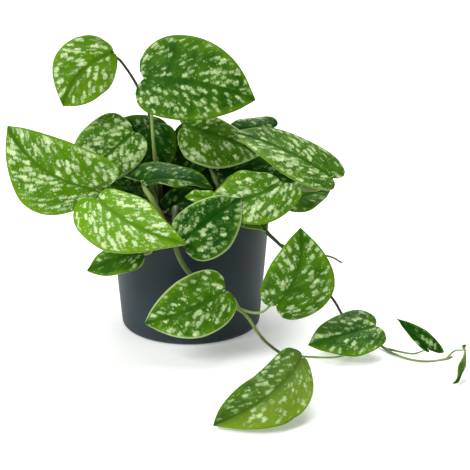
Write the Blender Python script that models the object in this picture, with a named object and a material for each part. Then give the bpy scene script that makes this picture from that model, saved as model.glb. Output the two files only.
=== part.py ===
"""A potted argyraeus satin pothos: a plain pot, its soil, leafy stems and heart-shaped leaves.

+Z is up, and the origin is the middle of the pot's base. The plant's sizes and places are written in
millimetres and become metres where a mesh or a curve is made. Two of the stems trail over the rim and
lie along the surface that the pot stands on.
"""

import math
import random
from collections import namedtuple

import bmesh
import bpy
from mathutils import Vector

MM = 0.001
GAP = 0.3
MERGE_METRES = 1e-6

# Pot
POT_HEIGHT = 95.0
POT_RIM_RADIUS = 60.0
POT_BASE_RADIUS = 52.0
POT_WALL = 2.2
POT_FLOOR = 3.0
POT_INNER_ROUND = 3.0
POT_BASE_ROUND = 5.0
POT_BASE_STEPS = 4
POT_LIP_ROUND = 0.9
POT_LIP_STEPS = 2
POT_SIDES = 44

# Soil
SOIL_TOP = 80.0
SOIL_LUMP = 1.6
SOIL_LUMP_SEED = 12
SOIL_RING_SHARES = (0, 0.25, 0.48, 0.7, 0.88)
SOIL_SIDES = 22
HOLE_ROOM = 0.9
HOLE_HEIGHT = 30.0
HOLE_SIDES = 8

# Leaf blade, in shares of its length from the joint to the tip, and of half its width
BLADE_THICKNESS = 0.8
BLADE_ROWS = 8
BLADE_COLUMNS = 3
INNER_LOBE = [(0.0, 0.0), (-0.03, 0.07), (-0.055, 0.19), (-0.065, 0.40)]
OUTER_MARGIN = [
    (-0.065, 0.40), (-0.03, 0.67), (0.06, 0.88), (0.20, 0.99), (0.38, 1.00),
    (0.56, 0.91), (0.72, 0.72), (0.85, 0.46), (0.945, 0.18), (1.0, 0.0),
]
FAN_SHARE = 1 / 3
FAN_EASE = 0.12
VEIN_BOW = 0.05
POINT_START = 0.45
POINT_DEPTH = 0.35
FOLD_SOFTNESS = 3.0
EDGE_DROOP = 1.1
WAVES = 2.5
WAVE_HEIGHTS = (0.6, 1.5)
TWISTS = (-6.0, 6.0)

# Stems and leaf stalks
STALK_RADII = [(0.0, 1.7), (0.12, 1.25), (0.5, 1.0), (0.88, 1.0), (1.0, 1.35)]
SLIMMEST_STALK = 0.6
STALK_STEPS = 2
STALK_APPROACH = 7.0
STALK_TURN_UP = 0.9
STALK_TURN_AHEAD = 0.3
NODE_SWELLING = 0.30
NODE_REACH = 4.0
STEM_STEPS = 2
ROOT_RADIUS = 0.8
ROOT_STEPS = 6

Leaf = namedtuple(
    "Leaf", "name stem node joint tip face width arch fold sway skew ovate split point via",
    defaults=(0.80, 26, 0.20, 0.0, 0.0, 0.0, 0.0, 0.4, ()),
)
Stem = namedtuple("Stem", "name route radii roots", defaults=((),))

# Each stem's route starts under the soil, and its radii are at shares of the way along that route
STEMS = [
    Stem(
        "stem_front",
        [(-6, -30, 63), (-6, -31, 84), (-7, -44, 99), (-8, -57, 104), (-8, -66, 97), (-8, -68, 84),
         (-4, -68, 70), (6, -71, 57), (21, -75, 45), (36, -77, 38), (43, -81, 32), (48, -91, 27.5),
         (54, -106, 25), (61, -121, 24.5), (66, -133, 26)],
        [(0, 2.2), (0.35, 2.0), (0.55, 1.7), (0.68, 1.2), (1, 0.95)],
    ),
    Stem(
        "stem_right",
        [(28, -12, 63), (30, -13, 84), (40, -20, 100), (49, -28, 102), (53.5, -35, 94), (55.5, -40, 84),
         (65, -44, 75), (81, -46, 59), (103, -44, 35), (112, -42, 20), (122, -43, 9), (135, -52, 3.4),
         (141, -61, 1.9), (146, -70, 1.5), (156, -80.5, 1.5), (168, -86, 2.2), (180, -89, 5.2),
         (184, -90.5, 7.5)],
        [(0, 2.1), (0.27, 1.7), (0.38, 1.0), (0.85, 0.85), (1, 0.7)],
        [(6, [(84, -50, 70), (100, -56, 69.5), (109, -59, 65.5)])],
    ),
    Stem(
        "stem_left",
        [(-24, -22, 63), (-25, -23, 84), (-29, -27, 95), (-33, -30, 103)],
        [(0, 2.3), (1, 1.8)],
    ),
    Stem("stem_top", [(-20, 2, 63), (-21, 1, 86), (-23, 0, 108), (-25, -4, 126)], [(0, 2.3), (1, 1.7)]),
    Stem(
        "stem_centre",
        [(-16, -39, 63), (-15, -39, 84), (-19, -37, 94), (-26, -34.5, 106), (-31.5, -31.5, 114)],
        [(0, 2.1), (1, 1.6)],
    ),
    Stem(
        "stem_right_upper",
        [(14, 6, 63), (16, 5, 86), (22, 2, 103), (31, -3, 113), (42, -9, 116)],
        [(0, 2.3), (1, 1.8)],
    ),
    Stem(
        "stem_back_left",
        [(-24, 22, 63), (-25, 24, 84), (-29, 29, 97), (-35, 34, 106)],
        [(0, 2.2), (1, 1.7)],
    ),
    Stem("stem_back_right", [(22, 24, 63), (23, 25, 84), (27, 28, 99), (33, 31, 110)], [(0, 2.2), (1, 1.7)]),
    Stem(
        "stem_back",
        [(-2, 34, 63), (-2, 35, 84), (-2, 41, 98), (-3, 52, 104), (-4, 64, 100)],
        [(0, 2.2), (1, 1.7)],
    ),
]

# joint is where the stalk meets the blade, tip is its point, and face is the way that its upper side looks
LEAVES = [
    Leaf("leaf_top_left", "stem_top", 3, (-54, -5, 206), (-89, -18, 169.5), (0, -10, 2), 0.84,
         sway=-0.12, skew=0.13, ovate=0.13, split=-0.03, point=-0.5,
         via=[(-26.5, -2, 146), (-30, 0, 164), (-38.5, 0, 183.5), (-47.6, -1, 198)]),
    Leaf("leaf_top_large", "stem_top", 3, (-30, -22, 190), (48, -30, 176), (0, -10, 4), 0.76,
         sway=0.04, skew=-0.03, split=0.08, point=0.2, via=[(-26, -12, 150), (-27, -12, 174)]),
    Leaf("leaf_left_outer", "stem_left", 3, (-63, -45, 115), (-127, -30, 158), (-3, -10, 5), 0.70,
         sway=0.125, skew=0.08, ovate=0.05, split=0.04, point=0.5, via=[(-48, -36, 106)]),
    Leaf("leaf_front_left", "stem_left", 2, (-61, -62, 113), (1, -88, 88), (0, -5, 9), 0.74,
         sway=-0.13, skew=0.14, split=-0.13, point=1.0, via=[(-44, -44, 103)]),
    Leaf("leaf_left_upper", "stem_top", 2, (-41, -5, 147.5), (-85, -20, 108), (-1, -10, 5), 0.78,
         split=-0.14, via=[(-33, -8, 118), (-42, -3, 134)]),
    Leaf("leaf_inner_upper", "stem_back", 1, (-20, 26, 135), (-71, 27, 138), (0, -10, 5), 0.74,
         via=[(-8, 36, 106), (-14, 36, 124)]),
    Leaf("leaf_inner_shaded", "stem_top", 1, (-31, 14, 148), (-27, 4, 109), (2, -10, 3), 1.0,
         via=[(-28, 10, 100), (-34, 15, 118), (-33, 18, 136)]),
    Leaf("leaf_centre_upper", "stem_right_upper", 2, (-4, 14, 149), (54, 12, 128), (0, -10, 7), 0.63,
         skew=-0.08, split=-0.3, via=[(10, 12, 128)]),
    Leaf("leaf_right_outer", "stem_right_upper", 4, (103, -25, 119), (32, -14, 150), (1, -4, 10), 0.66,
         skew=0.05, ovate=-0.03, split=-0.04, via=[(66, -16, 110), (90, -22, 109)]),
    Leaf("leaf_right_behind", "stem_back_right", 3, (61, 38, 142), (24, 35, 140), (0, -6, 10), 0.72,
         ovate=-0.2, via=[(50, 33, 126)]),
    Leaf("leaf_front_right", "stem_right_upper", 3, (65, -48, 120.5), (13, -53, 105), (0, -8, 8), 0.83,
         sway=0.10, skew=-0.31, via=[(48, -26, 113)]),
    Leaf("leaf_right_lower", "stem_right_upper", 1, (73, 0, 94), (105, 8, 101), (0, -6, 10), 0.93,
         split=0.12, via=[(34, 6, 98), (58, 0, 98)]),
    Leaf("leaf_rim_right", "stem_right_upper", 2, (31, -32, 104.5), (55.5, -60, 88.5), (0.5, -2.8, 10), 0.75,
         split=-0.2, via=[(28, -14, 107)]),
    Leaf("leaf_front_centre", "stem_front", 3, (-2, -80, 89), (38, -58, 112.5), (0, -10, 5), 0.77,
         split=-0.19, via=[(-5, -70, 96)]),
    Leaf("leaf_centre_tilted", "stem_centre", 3, (-33, -29, 117.5), (18, -22, 110), (0, -5.5, 10), 0.52,
         arch=50, skew=-0.31, ovate=-0.05, split=0.45),
    Leaf("leaf_centre_young", "stem_right", 1, (19, -40, 106), (-2, -44, 110), (0, -8, 10), 0.7,
         via=[(26, -22, 97)]),
    Leaf("leaf_inner_low_left", "stem_left", 1, (-31, -20, 101), (-56, -18, 104), (0, -10, 10), 0.8,
         via=[(-27, -16, 92)]),
    Leaf("leaf_inner_low_right", "stem_top", 1, (-16, -14, 92), (6, -8, 106), (0, -10, 6), 0.8,
         via=[(-18, -7, 88)]),
    Leaf("leaf_rim_left", "stem_left", 1, (-32, -68, 76), (-71, -60, 60), (0, -8, 10), 0.62,
         via=[(-30, -46, 99), (-25, -62, 96), (-24, -69, 85)]),
    Leaf("leaf_hanging_front", "stem_front", 9, (26, -84, 53.5), (-29, -86, 30.5), (0, -10, 3), 0.71,
         sway=0.05, skew=-0.04, split=-0.01, via=[(33, -80, 46)]),
    Leaf("leaf_hanging_right", "stem_front", 9, (62, -85, 43.5), (78, -78, 97), (1, -10, 2), 0.86,
         sway=-0.12, skew=0.13, ovate=-0.03, split=-0.19, via=[(46, -80, 36), (53, -83, 38)]),
    Leaf("leaf_lying_front", "stem_front", 14, (77, -141, 27.5), (20, -190, 2.6), (0, -4.2, 9), 0.51,
         sway=0.125, skew=0.09, ovate=0.15, split=0.11, point=-1.2),
    Leaf("leaf_lying_right", "stem_front", 14, (133, -64, 20), (85, -74, 9.5), (0, -5, 10), 0.82,
         sway=0.05, skew=-0.025, ovate=-0.025,
         via=[(80, -121, 20), (98, -98, 10), (110, -78, 3.5), (124, -64, 4)]),
    Leaf("leaf_folded_right", "stem_right", 12, (170, -72, 5.8), (148, -64, 26), (0, -10, 3), 0.38,
         arch=8, fold=0.25, skew=0.2, ovate=-0.2, split=-0.5, point=1.6, via=[(158, -71, 2.0)]),
    Leaf("leaf_vine_end", "stem_right", 16, (190.5, -100, 16.5), (178.5, -125, 1.6), (3, -8, -3), 0.40,
         arch=40, fold=0.4),
    Leaf("leaf_inner_centre", "stem_back_right", 2, (7, 21, 146), (-4, 21, 106), (0, -10, 1), 0.85,
         via=[(20, 26, 112), (14, 25, 130)]),
    Leaf("leaf_inner_right", "stem_back_right", 2, (20, 19, 114), (84, 15, 109), (0, -10, 3), 0.42,
         arch=16, via=[(22, 27, 107)]),
    Leaf("leaf_inner_back", "stem_back_right", 2, (20, 31.5, 107), (-20, 28, 120), (0, -10, 1), 0.70,
         arch=10, via=[(28, 35, 102)]),
    Leaf("leaf_inner_left", "stem_back_left", 1, (-36, 16, 111), (-68, 12, 106), (0, -10, 4), 0.55,
         arch=16, via=[(-28, 18, 96)]),
    Leaf("leaf_back_left_high", "stem_back_left", 3, (-45, 32, 122), (-92, 64, 106), (-2, 0, 10),
         via=[(-40, 34, 113)]),
    Leaf("leaf_back_left", "stem_back_left", 3, (-42, 42, 106), (-78, 92, 86), (-3, 4, 10),
         via=[(-38, 38, 102)]),
    Leaf("leaf_left_low", "stem_back_left", 2, (-52, 20, 98), (-98, 30, 88), (-4, 0, 10),
         via=[(-42, 22, 95)]),
    Leaf("leaf_back_high", "stem_back", 2, (-8, 36, 136), (-24, 86, 124), (0, 2, 10),
         via=[(-4, 34, 118)]),
    Leaf("leaf_back_right_high", "stem_back_right", 3, (25, 46, 132), (52, 88, 114), (2, 3, 10),
         via=[(30, 40, 120)]),
    Leaf("leaf_back_right", "stem_back_right", 3, (48, 38, 118), (92, 66, 102), (3, 1, 10),
         via=[(40, 32, 113)]),
    Leaf("leaf_back_right_low", "stem_back_right", 2, (52, 30, 102), (88, 70, 82), (5, 4, 10),
         via=[(42, 27, 102)]),
    Leaf("leaf_back_centre", "stem_back", 3, (5, 52, 116), (10, 102, 100), (0, 4, 10),
         via=[(0, 48, 110)]),
    Leaf("leaf_back_rim_left", "stem_back_left", 2, (-36, 58, 99), (-64, 92, 64), (-5, 7, 10),
         via=[(-31, 44, 102)]),
    Leaf("leaf_back_rim_right", "stem_back_right", 2, (36, 58, 99), (58, 94, 62), (5, 7, 10),
         via=[(30, 44, 102)]),
    Leaf("leaf_back_hanging", "stem_back", 4, (-5, 76, 92), (-6, 98, 44), (0, 10, 4),
         via=[(-4, 72, 96)]),
]


def smooth_at(points, share):
    """The point at this share of a Catmull-Rom curve through the given ones."""
    ends = [2 * points[0] - points[1], *points, 2 * points[-1] - points[-2]]
    place = share * (len(points) - 1)
    span = min(int(place), len(points) - 2)
    s = place - span
    a, b, c, d = ends[span:span + 4]
    return 0.5 * (2 * b + (c - a) * s + (2 * a - 5 * b + 4 * c - d) * s**2 + (3 * b - a - 3 * c + d) * s**3)


def steps_between(pairs, share):
    """The value at this share along a list of (share, value) pairs."""
    for (start, low), (end, high) in zip(pairs, pairs[1:]):
        if share <= end:
            return low + (high - low) * (share - start) / (end - start)
    return pairs[-1][1]


class Blade:
    """The form of one leaf blade: a flat heart, then its fold, waved edge, twist and arch, then its place."""

    def __init__(self, leaf):
        draw = random.Random(leaf.name)
        self.leaf = leaf
        self.joint = Vector(leaf.joint)
        chord = Vector(leaf.tip) - self.joint
        self.ahead = chord.normalized()
        self.up = (Vector(leaf.face) - Vector(leaf.face).dot(self.ahead) * self.ahead).normalized()
        self.left = self.up.cross(self.ahead)
        self.arch = math.radians(leaf.arch)
        self.length = chord.length * (self.arch / 2) / math.sin(self.arch / 2)
        self.half_width = self.length * leaf.width / 2
        self.wave = draw.uniform(*WAVE_HEIGHTS)
        self.phases = {1: draw.uniform(0, math.tau), -1: draw.uniform(0, math.tau)}
        self.twist = math.radians(draw.uniform(*TWISTS))

    def flat(self, row, side, t):
        """(along, across, distance from the midrib) in millimetres, at this share of a vein's way out."""
        root = Vector((max(0, (row - FAN_SHARE) / (1 - FAN_SHARE)), 0))
        edge = smooth_at([Vector(point) for point in OUTER_MARGIN], row)
        inner = [Vector(point) for point in INNER_LOBE]
        hollow = (smooth_at(inner, t) - t * inner[-1]) * max(0, 1 - row / FAN_EASE) ** 2
        along, across = root.lerp(edge, t) + hollow
        along -= VEIN_BOW * 4 * t * (1 - t) * math.sin(math.pi * row)
        across *= 1 - self.leaf.point * POINT_DEPTH * max(0, along - POINT_START) / (1 - POINT_START)
        along += (self.leaf.skew * side + self.leaf.ovate) * across * (1 - along) ** 2
        from_midrib = side * across * self.half_width * (1 + side * self.leaf.split)
        swayed = self.leaf.sway * self.length * 4 * along * (1 - along)
        return along * self.length, from_midrib + swayed, from_midrib

    def point(self, row, side, t):
        """The blade's middle surface at this vein, at this share of its way out, in millimetres."""
        along, across, from_midrib = self.flat(row, side, t)
        lift = self.leaf.fold * (math.hypot(from_midrib, FOLD_SOFTNESS) - FOLD_SOFTNESS)
        lift -= EDGE_DROOP * self.leaf.fold * from_midrib**2 / self.half_width
        lift += self.wave * t**2 * (1 - row**4) * math.sin(math.tau * WAVES * row + self.phases[side])
        turn = self.twist * (along / self.length - 0.5)
        across, lift = (
            across * math.cos(turn) - lift * math.sin(turn),
            across * math.sin(turn) + lift * math.cos(turn),
        )
        bend = self.arch * along / self.length
        radius = self.length / self.arch
        forward = (radius + lift) * math.sin(bend)
        rise = (radius + lift) * math.cos(bend) - radius
        half = self.arch / 2
        forward, rise = (
            forward * math.cos(half) - rise * math.sin(half),
            forward * math.sin(half) + rise * math.cos(half),
        )
        return self.joint + forward * self.ahead + across * self.left + rise * self.up

    def stalk_end(self, origin):
        """The last points of the stalk, which meets the blade's underside at the joint with a small gap."""
        half = self.arch / 2
        ahead = math.cos(half) * self.ahead + math.sin(half) * self.up
        up = math.cos(half) * self.up - math.sin(half) * self.ahead
        straight = (self.joint - Vector(origin)).normalized()
        coming = (straight + STALK_TURN_UP * up + STALK_TURN_AHEAD * ahead).normalized()
        reach = BLADE_THICKNESS / 2 + GAP + STALK_RADII[-1][1] * coming.cross(up).length
        end = self.joint - reach * up
        return [end - STALK_APPROACH * coming, end]


def link(name, data):
    made = bpy.data.objects.new(name, data)
    bpy.context.scene.collection.objects.link(made)
    return made


def material(name, colour, roughness):
    """A Principled BSDF with one colour, given as sRGB out of 255."""
    made = bpy.data.materials.new(name)
    made.use_nodes = True
    shader = made.node_tree.nodes["Principled BSDF"]
    linear = [((c / 255 + 0.055) / 1.055) ** 2.4 if c > 10 else c / 255 / 12.92 for c in colour]
    shader.inputs["Base Color"].default_value = (*linear, 1)
    shader.inputs["Roughness"].default_value = roughness
    shader.inputs["Metallic"].default_value = 0
    made.diffuse_color = (*linear, 1)
    return made


def finished(made):
    """The object with its modifiers applied, in place of the live one."""
    graph = bpy.context.evaluated_depsgraph_get()
    mesh = bpy.data.meshes.new_from_object(made.evaluated_get(graph))
    name, materials = made.name, list(made.data.materials)
    bpy.data.objects.remove(made)
    done = link(name, mesh)
    if not mesh.materials:
        for each in materials:
            mesh.materials.append(each)
    return done


def turned(name, profile, sides):
    """A profile of (radius, height) points turned about Z, its outer side running from top to bottom."""
    mesh = bpy.data.meshes.new(name)
    points = [(radius * MM, 0, height * MM) for radius, height in profile]
    mesh.from_pydata(points, [(i, i + 1) for i in range(len(points) - 1)], [])
    made = link(name, mesh)
    screw = made.modifiers.new("turn", "SCREW")
    screw.steps = screw.render_steps = sides
    screw.use_merge_vertices = True
    screw.merge_threshold = 0.00001
    screw.use_smooth_shade = True
    return finished(made)


def arc(centre, radius, start, end, steps):
    """Points (radius, height) on an arc, with its angles in degrees."""
    angles = [math.radians(start + (end - start) * step / steps) for step in range(steps + 1)]
    return [(centre[0] + radius * math.cos(a), centre[1] + radius * math.sin(a)) for a in angles]


def wall_radius(height):
    """The outer radius of the pot at this height."""
    return POT_BASE_RADIUS + (POT_RIM_RADIUS - POT_BASE_RADIUS) * height / POT_HEIGHT


def make_pot():
    """A thin cone with a flat floor, a rounded lip and a rounded foot."""
    inside = POT_WALL + POT_BASE_ROUND / 2
    inner_corner = POT_FLOOR + POT_INNER_ROUND
    lip = POT_LIP_ROUND
    foot = POT_BASE_ROUND
    profile = [(0, POT_FLOOR), (POT_BASE_RADIUS - inside, POT_FLOOR)]
    profile += [(wall_radius(inner_corner) - POT_WALL, inner_corner)]
    profile += [(wall_radius(SOIL_TOP) - POT_WALL, SOIL_TOP)]
    profile += arc((POT_RIM_RADIUS - POT_WALL + lip, POT_HEIGHT - lip), lip, 180, 90, POT_LIP_STEPS)
    profile += arc((POT_RIM_RADIUS - lip, POT_HEIGHT - lip), lip, 90, 0, POT_LIP_STEPS)
    profile += arc((wall_radius(foot) - foot, foot), foot, 0, -90, POT_BASE_STEPS)
    profile += [(0, 0)]
    pot = turned("pot", profile, POT_SIDES)
    pot.data.materials.append(material("slate_plastic", (55, 62, 70), 0.45))


def make_soil():
    """The plug of soil, with a lumpy top and a plain hole for each stem."""
    foot = POT_FLOOR + GAP
    edge = wall_radius(SOIL_TOP) - POT_WALL - GAP
    floor_radius = POT_BASE_RADIUS - POT_WALL - POT_BASE_ROUND / 2 - 2 * GAP
    inner_corner = POT_FLOOR + POT_INNER_ROUND
    corner = (wall_radius(inner_corner) - POT_WALL - 2 * GAP, inner_corner + GAP)
    rings = [(edge * share, SOIL_TOP) for share in SOIL_RING_SHARES]
    soil = turned("soil", [*rings, (edge, SOIL_TOP - 1), corner, (floor_radius, foot), (0, foot)], SOIL_SIDES)
    draw = random.Random(SOIL_LUMP_SEED)
    for vertex in soil.data.vertices:
        if vertex.co.z > (SOIL_TOP - 0.5) * MM:
            vertex.co.z += draw.uniform(-SOIL_LUMP, SOIL_LUMP) * MM
    cutters = bpy.data.collections.new("cutters")
    for stem in STEMS:
        cutters.objects.link(stem_hole(stem))
    cut = soil.modifiers.new("holes", "BOOLEAN")
    cut.operation = "DIFFERENCE"
    cut.operand_type = "COLLECTION"
    cut.collection = cutters
    soil = finished(soil)
    for cutter in list(cutters.objects):
        bpy.data.objects.remove(cutter)
    soil.data.materials.append(material("potting_soil", (58, 42, 30), 0.95))


def stem_hole(stem):
    """A straight cutter round the foot of a stem, open at the soil's top."""
    foot, top = Vector(stem.route[0]), Vector(stem.route[1])
    direction = (top - foot).normalized()
    radius = stem.radii[0][1] + HOLE_ROOM
    bottom = foot - direction * GAP
    mesh = bpy.data.meshes.new("hole")
    shape = bmesh.new()
    bmesh.ops.create_cone(
        shape, cap_ends=True, segments=HOLE_SIDES,
        radius1=radius * MM, radius2=radius * MM, depth=HOLE_HEIGHT * MM,
    )
    turn = direction.to_track_quat("Z", "Y").to_matrix().to_4x4()
    bmesh.ops.transform(shape, matrix=turn, verts=shape.verts)
    bmesh.ops.translate(shape, vec=(bottom + direction * HOLE_HEIGHT / 2) * MM, verts=shape.verts)
    shape.to_mesh(mesh)
    shape.free()
    cutter = bpy.data.objects.new("hole", mesh)
    cutter.hide_render = True
    cutter.display_type = "WIRE"
    return cutter


def tube(name, points, radii):
    """A round tube through these points, closed at both ends, as a mesh."""
    curve = bpy.data.curves.new(name, "CURVE")
    curve.dimensions = "3D"
    curve.bevel_depth = MM
    curve.bevel_resolution = 1
    curve.use_fill_caps = True
    spline = curve.splines.new("POLY")
    spline.points.add(len(points) - 1)
    for spot, place, radius in zip(spline.points, points, radii):
        spot.co = (*(place * MM), 1)
        spot.radius = radius
    made = finished(link(name, curve))
    shape = bmesh.new()
    shape.from_mesh(made.data)
    bmesh.ops.remove_doubles(shape, verts=shape.verts, dist=MERGE_METRES)
    bmesh.ops.recalc_face_normals(shape, faces=shape.faces)
    shape.to_mesh(made.data)
    shape.free()
    return made


def stalk(leaf, start, slim):
    """The leaf stalk, from the middle of the stem to just short of the blade."""
    before = leaf.via[-1] if leaf.via else tuple(start)
    route = [start, *[Vector(point) for point in leaf.via], *Blade(leaf).stalk_end(before)]
    count = STALK_STEPS * (len(route) - 1)
    shares = [step / count for step in range(count + 1)]
    radii = [slim * steps_between(STALK_RADII, share) for share in shares]
    return tube("stalk", [smooth_at(route, share) for share in shares], radii)


def make_stem(stem, green):
    """One grown piece: the stem, its leaf stalks and its aerial roots, joined by one union."""
    route = [Vector(point) for point in stem.route]
    leaves = [leaf for leaf in LEAVES if leaf.stem == stem.name]
    nodes = [route[leaf.node] for leaf in leaves]
    count = STEM_STEPS * (len(route) - 1)
    points = [smooth_at(route, step / count) for step in range(count + 1)]
    radii = []
    for step, point in enumerate(points):
        near = min(((point - node).length for node in nodes), default=math.inf)
        swelling = 1 + NODE_SWELLING * math.exp(-((near / NODE_REACH) ** 2))
        thickness = steps_between(stem.radii, step / count)
        radii.append(thickness * (swelling if point.z > SOIL_TOP or point.y < -POT_RIM_RADIUS else 1))
    main = tube(stem.name, points, radii)
    branches = bpy.data.collections.new("branches")
    for leaf in leaves:
        carried_by = steps_between(stem.radii, leaf.node / (len(route) - 1))
        slim = max(SLIMMEST_STALK, min(1, carried_by / STALK_RADII[0][1]))
        branches.objects.link(stalk(leaf, route[leaf.node], slim))
    for start, line in stem.roots:
        line = [route[start], *[Vector(point) for point in line]]
        places = [smooth_at(line, step / ROOT_STEPS) for step in range(ROOT_STEPS + 1)]
        branches.objects.link(tube("root", places, [ROOT_RADIUS] * len(places)))
    if branches.objects:
        join = main.modifiers.new("branches", "BOOLEAN")
        join.operation = "UNION"
        join.operand_type = "COLLECTION"
        join.collection = branches
        main = finished(main)
    for branch in list(branches.objects):
        bpy.data.objects.remove(branch)
    main.data.materials.append(green)


def make_leaf(leaf):
    """A sheet of triangles along the lateral veins, given its thickness by Solidify."""
    blade = Blade(leaf)
    columns = range(-BLADE_COLUMNS, BLADE_COLUMNS + 1)
    shape = bmesh.new()
    grid = []
    for row in range(BLADE_ROWS + 1):
        line = []
        for column in columns:
            side = 1 if column > 0 else -1
            place = blade.point(row / BLADE_ROWS, side, abs(column) / BLADE_COLUMNS)
            line.append(shape.verts.new(place * MM))
        grid.append(line)
    for near, far in zip(grid, grid[1:]):
        for i in range(len(near) - 1):
            corners = (near[i], far[i], far[i + 1], near[i + 1])
            if columns[i] < 0:
                halves = ((0, 3, 2), (0, 2, 1))
            else:
                halves = ((1, 0, 3), (1, 3, 2))
            for half in halves:
                shape.faces.new([corners[k] for k in half])
    bmesh.ops.remove_doubles(shape, verts=shape.verts, dist=MERGE_METRES)
    mesh = bpy.data.meshes.new(leaf.name)
    shape.to_mesh(mesh)
    shape.free()
    mesh.shade_smooth()
    made = link(leaf.name, mesh)
    made.data.materials.append(material(leaf.name + "_green", (70, 125, 35), 0.5))
    solidify = made.modifiers.new("thickness", "SOLIDIFY")
    solidify.thickness = BLADE_THICKNESS * MM
    solidify.offset = 0
    finished(made)


def main():
    for each in list(bpy.data.objects):
        bpy.data.objects.remove(each)
    make_pot()
    make_soil()
    for stem in STEMS:
        make_stem(stem, material(stem.name + "_green", (110, 140, 60), 0.55))
    for leaf in LEAVES:
        make_leaf(leaf)


main()
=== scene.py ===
# %% [markdown]
# A potted satin pothos
#
# The real object is a small trailing houseplant. Thick, velvety, heart-shaped leaves with silver
# blotches stand on stalks round a 12 cm plastic pot, and two stems have grown over its rim.
# This lesson dresses the solid model of that plant. Every length is in millimetres in the tables
# and becomes metres where a mesh is made, in the same frame as the solids.

# %% The tools and the fixed frame
import math
import random
from collections import namedtuple

import bmesh
import bpy
from mathutils import Matrix, Vector


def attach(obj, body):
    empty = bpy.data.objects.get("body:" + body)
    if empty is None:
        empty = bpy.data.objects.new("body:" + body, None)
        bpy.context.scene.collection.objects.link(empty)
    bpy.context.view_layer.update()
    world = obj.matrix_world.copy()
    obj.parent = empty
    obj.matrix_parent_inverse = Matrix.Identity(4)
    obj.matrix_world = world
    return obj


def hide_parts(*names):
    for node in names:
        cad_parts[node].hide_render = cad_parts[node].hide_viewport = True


MM = 0.001
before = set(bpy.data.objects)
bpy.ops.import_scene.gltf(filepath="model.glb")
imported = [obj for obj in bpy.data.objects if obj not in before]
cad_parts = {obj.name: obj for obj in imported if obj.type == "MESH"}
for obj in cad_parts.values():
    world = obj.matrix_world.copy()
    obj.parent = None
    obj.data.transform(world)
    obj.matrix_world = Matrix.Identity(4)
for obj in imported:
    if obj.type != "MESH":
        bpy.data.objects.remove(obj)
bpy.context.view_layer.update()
print("the frame has", len(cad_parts), "solids")

# %% [markdown]
# The camera comes first, because every look at the plant is taken through it.
# The pot's base ellipse and its sloping wall tell where the photographer stood: about 0.9 m away
# and 16 degrees above the table's level, with a fairly long lens.
# Its greens are full and its ground is white, so the picture is shown with the plain view
# transform, without a film curve that would wash the greens out.

# %% The camera
TARGET = Vector((33.5, 0, 68.7)) * MM
DISTANCE = 0.9
ELEVATION = math.radians(16.4)
FOCAL_PIXELS = 1200
PHOTO_PIXELS = 470
SENSOR_WIDTH = 36


def link(name, data):
    """A new object with this data, in the scene."""
    made = bpy.data.objects.new(name, data)
    bpy.context.scene.collection.objects.link(made)
    return made


def aim(made, place, target):
    """Puts a camera or a light at a place and turns it to a target."""
    made.location = place
    made.rotation_euler = (Vector(target) - Vector(place)).to_track_quat("-Z", "Y").to_euler()


lens = bpy.data.cameras.new("photo_camera")
lens.sensor_width = SENSOR_WIDTH
lens.lens = SENSOR_WIDTH * FOCAL_PIXELS / PHOTO_PIXELS
camera = link("photo_camera", lens)
aim(camera, TARGET + DISTANCE * Vector((0, -math.cos(ELEVATION), math.sin(ELEVATION))), TARGET)
bpy.context.scene.camera = camera
bpy.context.scene.view_settings.view_transform = "Standard"
print("lens", round(lens.lens, 1), "mm")

# %% [markdown]
# Studio light for a plant is large and soft, so that thick leaves shine without hard spots.
# One big softbox stands at the front left, a weaker one at the right, and one hangs above.
# A fourth one lights only the ground behind, so that it stays white as in the photo, and the
# ground glows a little, like a light table, which keeps the shadows on it pale.
# A pale world fills the rest, weakly, because the photo is nearly black between the leaves.

# %% The floor and the lights
PLANT_MIDDLE = (0.03, 0, 0.08)
WORLD_STRENGTH = 0.27
FLOOR_REACH = 8


def softbox(name, place, size, power, target=PLANT_MIDDLE):
    """A square area light that looks at the plant, or at another target."""
    light = bpy.data.lights.new(name, "AREA")
    light.size = size
    light.energy = power
    aim(link(name, light), place, target)


softbox("key_softbox", (-1.15, -1.15, 1.3), size=0.9, power=30)
softbox("fill_softbox", (1.3, -1.1, 0.7), size=0.9, power=0.3)
softbox("top_softbox", (0.1, 0.2, 1.6), size=1.0, power=14)
softbox("backdrop_softbox", (0.0, 2.4, 2.4), size=2.0, power=90, target=(0.0, 2.2, 0.0))
world = bpy.data.worlds.new("pale_room")
world.use_nodes = True
world.node_tree.nodes["Background"].inputs["Color"].default_value = (1, 1, 1, 1)
world.node_tree.nodes["Background"].inputs["Strength"].default_value = WORLD_STRENGTH
bpy.context.scene.world = world

floor_mesh = bpy.data.meshes.new("floor")
corners = [(x * FLOOR_REACH, y * FLOOR_REACH, 0) for x, y in ((-1, -1), (1, -1), (1, 1), (-1, 1))]
floor_mesh.from_pydata(corners, [], [(0, 1, 2, 3)])
floor = link("floor", floor_mesh)
print("floor and", len([o for o in bpy.data.objects if o.type == "LIGHT"]), "softboxes")

# %% [markdown]
# Formulas in node trees are hard to read when each sum is a node written by hand.
# A Wire holds one socket, and Python's own signs on it make the Math nodes, in a shader tree and
# in a Geometry Nodes tree alike. So the leaf's form below reads as the formula that it is.

# %% Wires: formulas that build Math nodes
def plug(tree, value, entry):
    """Feeds a wire, a socket or a plain number into an entry socket."""
    if isinstance(value, Wire):
        value = value.socket
    if isinstance(value, bpy.types.NodeSocket):
        tree.links.new(value, entry)
    else:
        entry.default_value = value


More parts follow.
